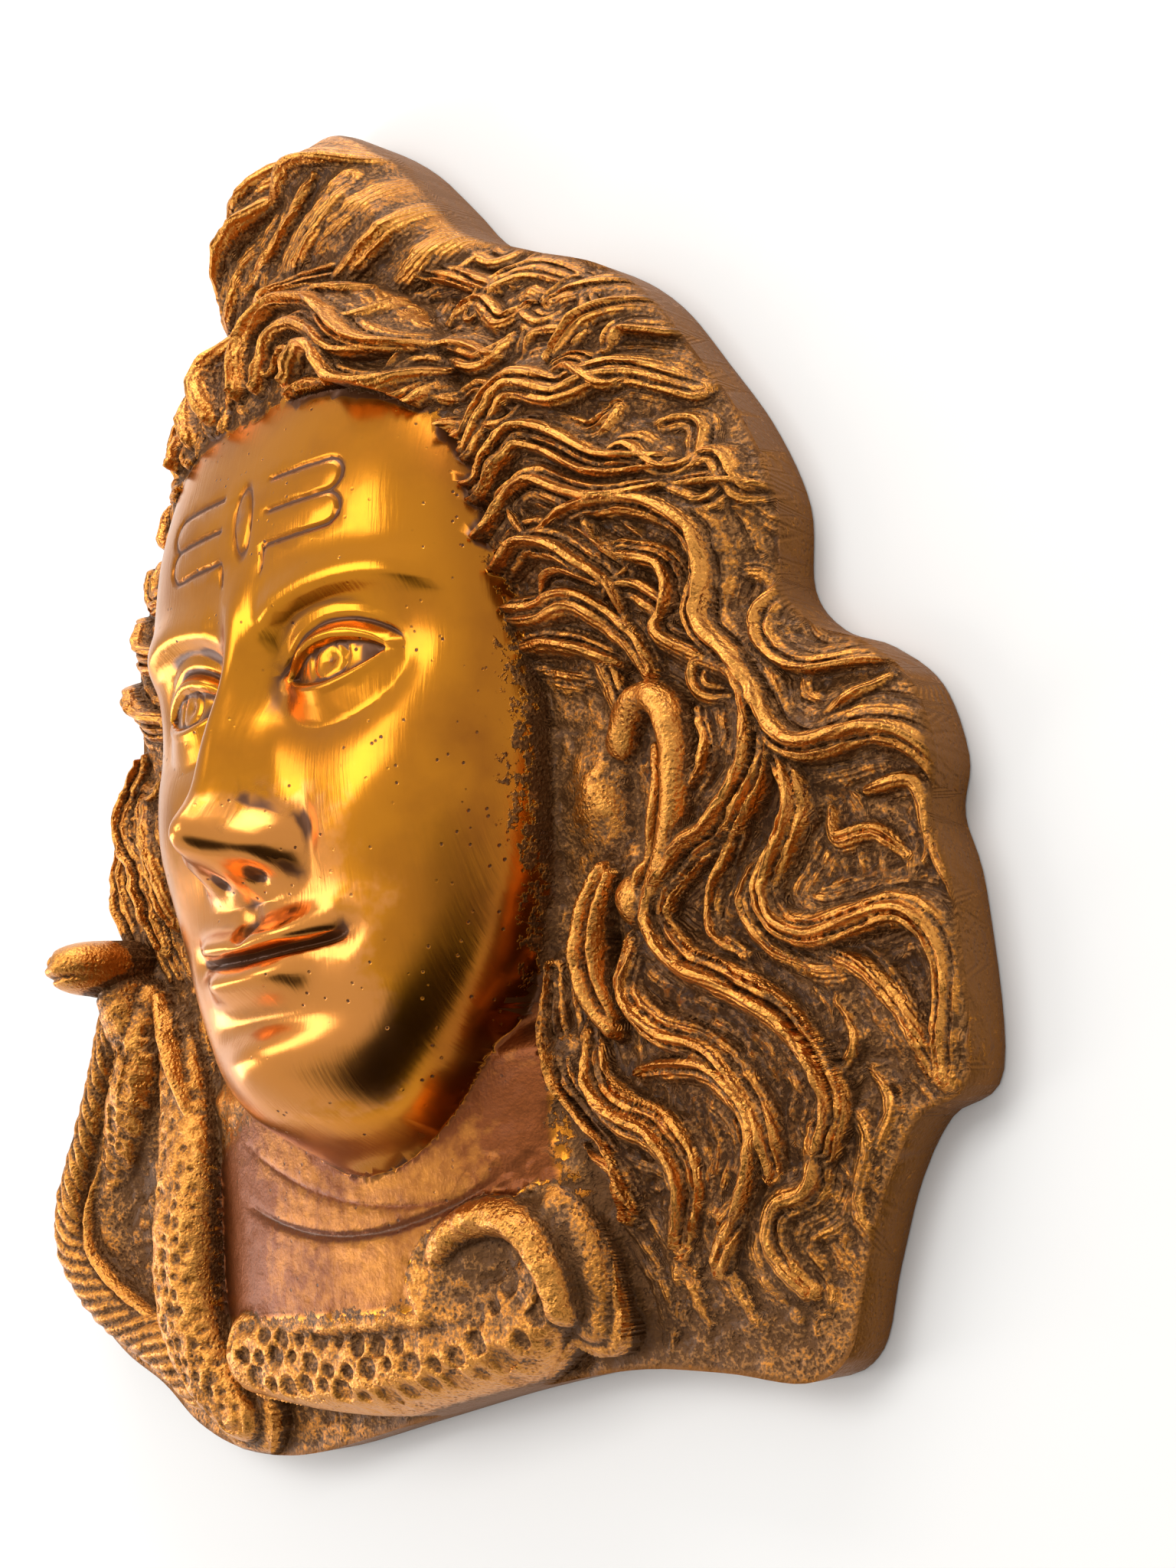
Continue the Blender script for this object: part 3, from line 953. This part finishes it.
    # hair and filed rim, then the polish over them with a broken edge
    onRim = addNode(tree, "MapRange", (-700, -150), (mark["inward"], 1.2, 0.2), **softStep)
    body = addNode(tree, "Mix", (-100, 400), {0: onRim, 6: hair, 7: colour["rimBrown"]}, 2, **ofColours)
    byGrain = addNode(tree, "MapRange", (-600, 550), (noise["grain"], 0.35, 0.65, -0.25, 0.25), **softStep)
    bySpeck = addNode(tree, "MapRange", (-600, 650), (noise["speck"], 0.36, 0.64, -0.12, 0.12), **softStep)
    patchy = addNode(tree, "Math", (-450, 550), (mark["polish"], byGrain), **add)
    patchy = addNode(tree, "Math", (-400, 550), (patchy, bySpeck), **add)
    polished = addNode(tree, "MapRange", (-300, 500), (patchy, 0.28, 0.5), **softStep)
    tint = addNode(tree, "Mix", (100, 300), {0: polished, 6: body, 7: face}, 2, **ofColours)

    # patina is dull and hardly metallic, rubbed crests shine, and the face is nearly a mirror
    sockets = (worn, 0.25, 0.85, brassFinish["patinaRoughness"], brassFinish["crestRoughness"])
    hairRough = addNode(tree, "MapRange", (-300, -100), sockets, **softStep)
    sockets = (noise["blotch"], 0.3, 0.7, *brassFinish["faceRoughness"])
    faceRough = addNode(tree, "MapRange", (-500, -300), sockets, **softStep)
    dulled = addNode(tree, "Math", (-500, -350), (dirt, onNeck), **larger)
    dulled = addNode(tree, "Math", (-400, -350), (dulled, brassFinish["grimeRoughness"]), **multiply)
    faceRough = addNode(tree, "Math", (-300, -250), (faceRough, dulled), **add)
    rough = addNode(tree, "Mix", (-100, -150), {0: polished, 2: hairRough, 3: faceRough}, **ofNumbers)
    sockets = (worn, 0.15, 0.60, brassFinish["patinaMetal"], 1.0)
    hairMetal = addNode(tree, "MapRange", (-300, 50), sockets, **softStep)
    sockets = (dirt, 0.0, 1.0, 1.0, brassFinish["grimeMetal"])
    faceMetal = addNode(tree, "MapRange", (-300, 0), sockets, **softStep)
    metal = addNode(tree, "Mix", (-100, 0), {0: polished, 2: hairMetal, 3: faceMetal}, **ofNumbers)

    # fine strand lines and casting grain in the hair, pits and faint brushing on the face
    perStep = 2 * math.pi / brassFinish["strandPitch"]
    lines = addNode(tree, "Math", (-1150, -300), (mark["strand"], perStep), **multiply)
    lines = addNode(tree, "Math", (-1000, -300), (lines,), operation="SINE")
    lines = addNode(tree, "Math", (-1000, -400), (lines, 0.8), **multiply)
    grained = addNode(tree, "Math", (-1000, -500), (noise["grain"], 2.6), **multiply)
    specked = addNode(tree, "Math", (-850, -500), (noise["speck"], 2.4), **multiply)
    sunk = addNode(tree, "Math", (-850, -600), (pocked, 1.6), **multiply)
    roughCast = addNode(tree, "Math", (-850, -350), (lines, grained), **add)
    roughCast = addNode(tree, "Math", (-700, -400), (roughCast, specked), **add)
    roughCast = addNode(tree, "Math", (-650, -400), (roughCast, sunk), **subtract)
    brushing = addNode(tree, "Math", (-1000, -650), (brushing, 0.3), **multiply)
    sunk = addNode(tree, "Math", (-1000, -750), (pits, -0.8), **multiply)
    smooth = addNode(tree, "Math", (-850, -650), (brushing, sunk), **add)
    castNeck = addNode(tree, "Math", (-900, -850), (noise["speck"], noise["grain"]), **add)
    castNeck = addNode(tree, "Math", (-800, -750), (onNeck, castNeck), **multiply)
    castNeck = addNode(tree, "Math", (-750, -750), (castNeck, 0.9), **multiply)
    smooth = addNode(tree, "Math", (-700, -650), (smooth, castNeck), **add)
    height = addNode(tree, "Mix", (-500, -500), {0: polished, 2: roughCast, 3: smooth}, **ofNumbers)
    sockets = {"Strength": brassFinish["bump"], "Distance": brassFinish["bumpDepth"], "Height": height}
    bump = addNode(tree, "Bump", (-300, -500), sockets, "Normal")

    for socket, source in (("Base Color", tint), ("Roughness", rough), ("Metallic", metal), ("Normal", bump)):
        tree.links.new(source, shader.inputs[socket])
    shader.inputs["Coat Weight"].default_value = brassFinish["coat"]
    shader.inputs["Coat Roughness"].default_value = brassFinish["coatRoughness"]
    return material


mesh = thinned(buildCasting())
carvedNormals(mesh)
mesh.name = "shivaMask"
mask = bpy.data.objects.new("shivaMask", mesh)
bpy.context.scene.collection.objects.link(mask)
mesh.materials.append(antiqueBrass())
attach(mask, "root")
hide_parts("shiva_mask")
print("shiva mask: casting built,", len(mesh.polygons), "triangles")


# White table, pale room with one dark side, and three soft boxes: place, size and radiance
studio = {
    "table": "#F4F2EF",
    "tableSize": 8,
    "tableGap": 0.0004,  # keeps the table's face clear of the mask's flat
    "room": "#FFFFFF",
    "roomStrength": 0.78,
    "darkSide": "#1E1916",
    "darkTowards": (0.50, -0.80, 0.32),
    "darkEdge": (0.70, 0.90),  # cosines between which the room turns dark
    "boxes": (
        ("boxOverhead", (-0.15, 0.35, 0.95), (0.70, 0.50), 3.5),
        ("boxTop", (0.10, 1.00, 0.30), (1.10, 0.30), 6.0),
        ("boxLeft", (-0.95, -0.20, 0.45), (0.30, 0.90), 4.5),
    ),
}


def whiteTable():
    bpy.ops.mesh.primitive_plane_add(size=studio["tableSize"])
    table = bpy.context.object
    table.name = "whiteTable"
    paper = bpy.data.materials.new("whitePaper")
    paper.use_nodes = True
    shader = paper.node_tree.nodes["Principled BSDF"]
    shader.inputs["Base Color"].default_value = linear(studio["table"])
    shader.inputs["Roughness"].default_value = 0.8
    table.data.materials.append(paper)
    table.location.z = -studio["tableGap"]


# An even white room, unlit on its low side to the mask's lower right, which the polished jaw mirrors
def paleRoom():
    world = bpy.data.worlds.new("paleRoom")
    bpy.context.scene.world = world
    world.use_nodes = True
    tree = world.node_tree
    sky = tree.nodes["Background"]
    length = math.sqrt(sum(v * v for v in studio["darkTowards"]))
    darkTowards = [v / length for v in studio["darkTowards"]]
    place = addNode(tree, "TexCoord", (-900, 0), output="Generated")
    towards = addNode(tree, "VectorMath", (-700, 0), (place, darkTowards), "Value", operation="DOT_PRODUCT")
    unlit = addNode(tree, "MapRange", (-500, 0), (towards, *studio["darkEdge"]), **softStep)
    sockets = {0: unlit, 6: linear(studio["room"]), 7: linear(studio["darkSide"])}
    shade = addNode(tree, "Mix", (-300, 0), sockets, 2, **ofColours)
    tree.links.new(shade, sky.inputs["Color"])
    sky.inputs["Strength"].default_value = studio["roomStrength"]


def softBoxes():
    for name, place, size, radiance in studio["boxes"]:
        light = bpy.data.lights.new(name, "AREA")
        light.shape = "RECTANGLE"
        light.size, light.size_y = size
        light.energy = radiance * math.pi * size[0] * size[1]
        box = bpy.data.objects.new(name, light)
        bpy.context.scene.collection.objects.link(box)
        box.location = place
        ahead = -np.array(place) / np.linalg.norm(place)
        right = np.cross(ahead, (0, 0, 1)) / np.linalg.norm(np.cross(ahead, (0, 0, 1)))
        up = np.cross(right, ahead)
        box.matrix_world = Matrix([[right[i], up[i], -ahead[i], place[i]] for i in range(3)] + [[0, 0, 0, 1]])


# Camera as worked out from the photo: angles in degrees, the rest in drawing units or pixels
view = {
    "aside": 42.0,
    "below": -11.0,
    "roll": 5.5,
    "focal": 2960.0,
    "distance": 430.0,
    "aim": (560.0, 1050.0),
    "frame": (1536, 2048),
    "sensor": 36,  # millimetres, along the frame's height
}


def photoCamera():
    aside, below, roll = (math.radians(view[name]) for name in ("aside", "below", "roll"))
    back = np.array([math.sin(aside) * math.cos(below), math.sin(below), math.cos(aside) * math.cos(below)])
    right = np.array([math.cos(aside), 0, -math.sin(aside)])
    up = np.cross(back, right)
    c, s = math.cos(roll), math.sin(roll)
    axes = np.array([[c, -s, 0], [s, c, 0], [0, 0, 1]]) @ np.stack([right, up, back])
    wide, high = view["frame"]
    aimX, aimY = view["aim"]
    offset = np.array([(aimX - wide / 2) / view["focal"], -(aimY - high / 2) / view["focal"], -1])
    place = -axes.T @ offset * view["distance"]
    place = (place - np.append(middle, 0)) * unit / 1000
    lens = bpy.data.cameras.new("photoCamera")
    lens.sensor_width = view["sensor"]
    lens.sensor_fit = "AUTO"
    lens.lens = view["focal"] / high * view["sensor"]
    lens.clip_start = 0.01
    camera = bpy.data.objects.new("photoCamera", lens)
    bpy.context.scene.collection.objects.link(camera)
    camera.matrix_world = Matrix([list(axes[:, i]) + [place[i]] for i in range(3)] + [[0, 0, 0, 1]])
    bpy.context.scene.camera = camera


whiteTable()
paleRoom()
softBoxes()
photoCamera()
bpy.context.scene.view_settings.view_transform = "Standard"
print("shiva mask: table, room, lights and camera set")
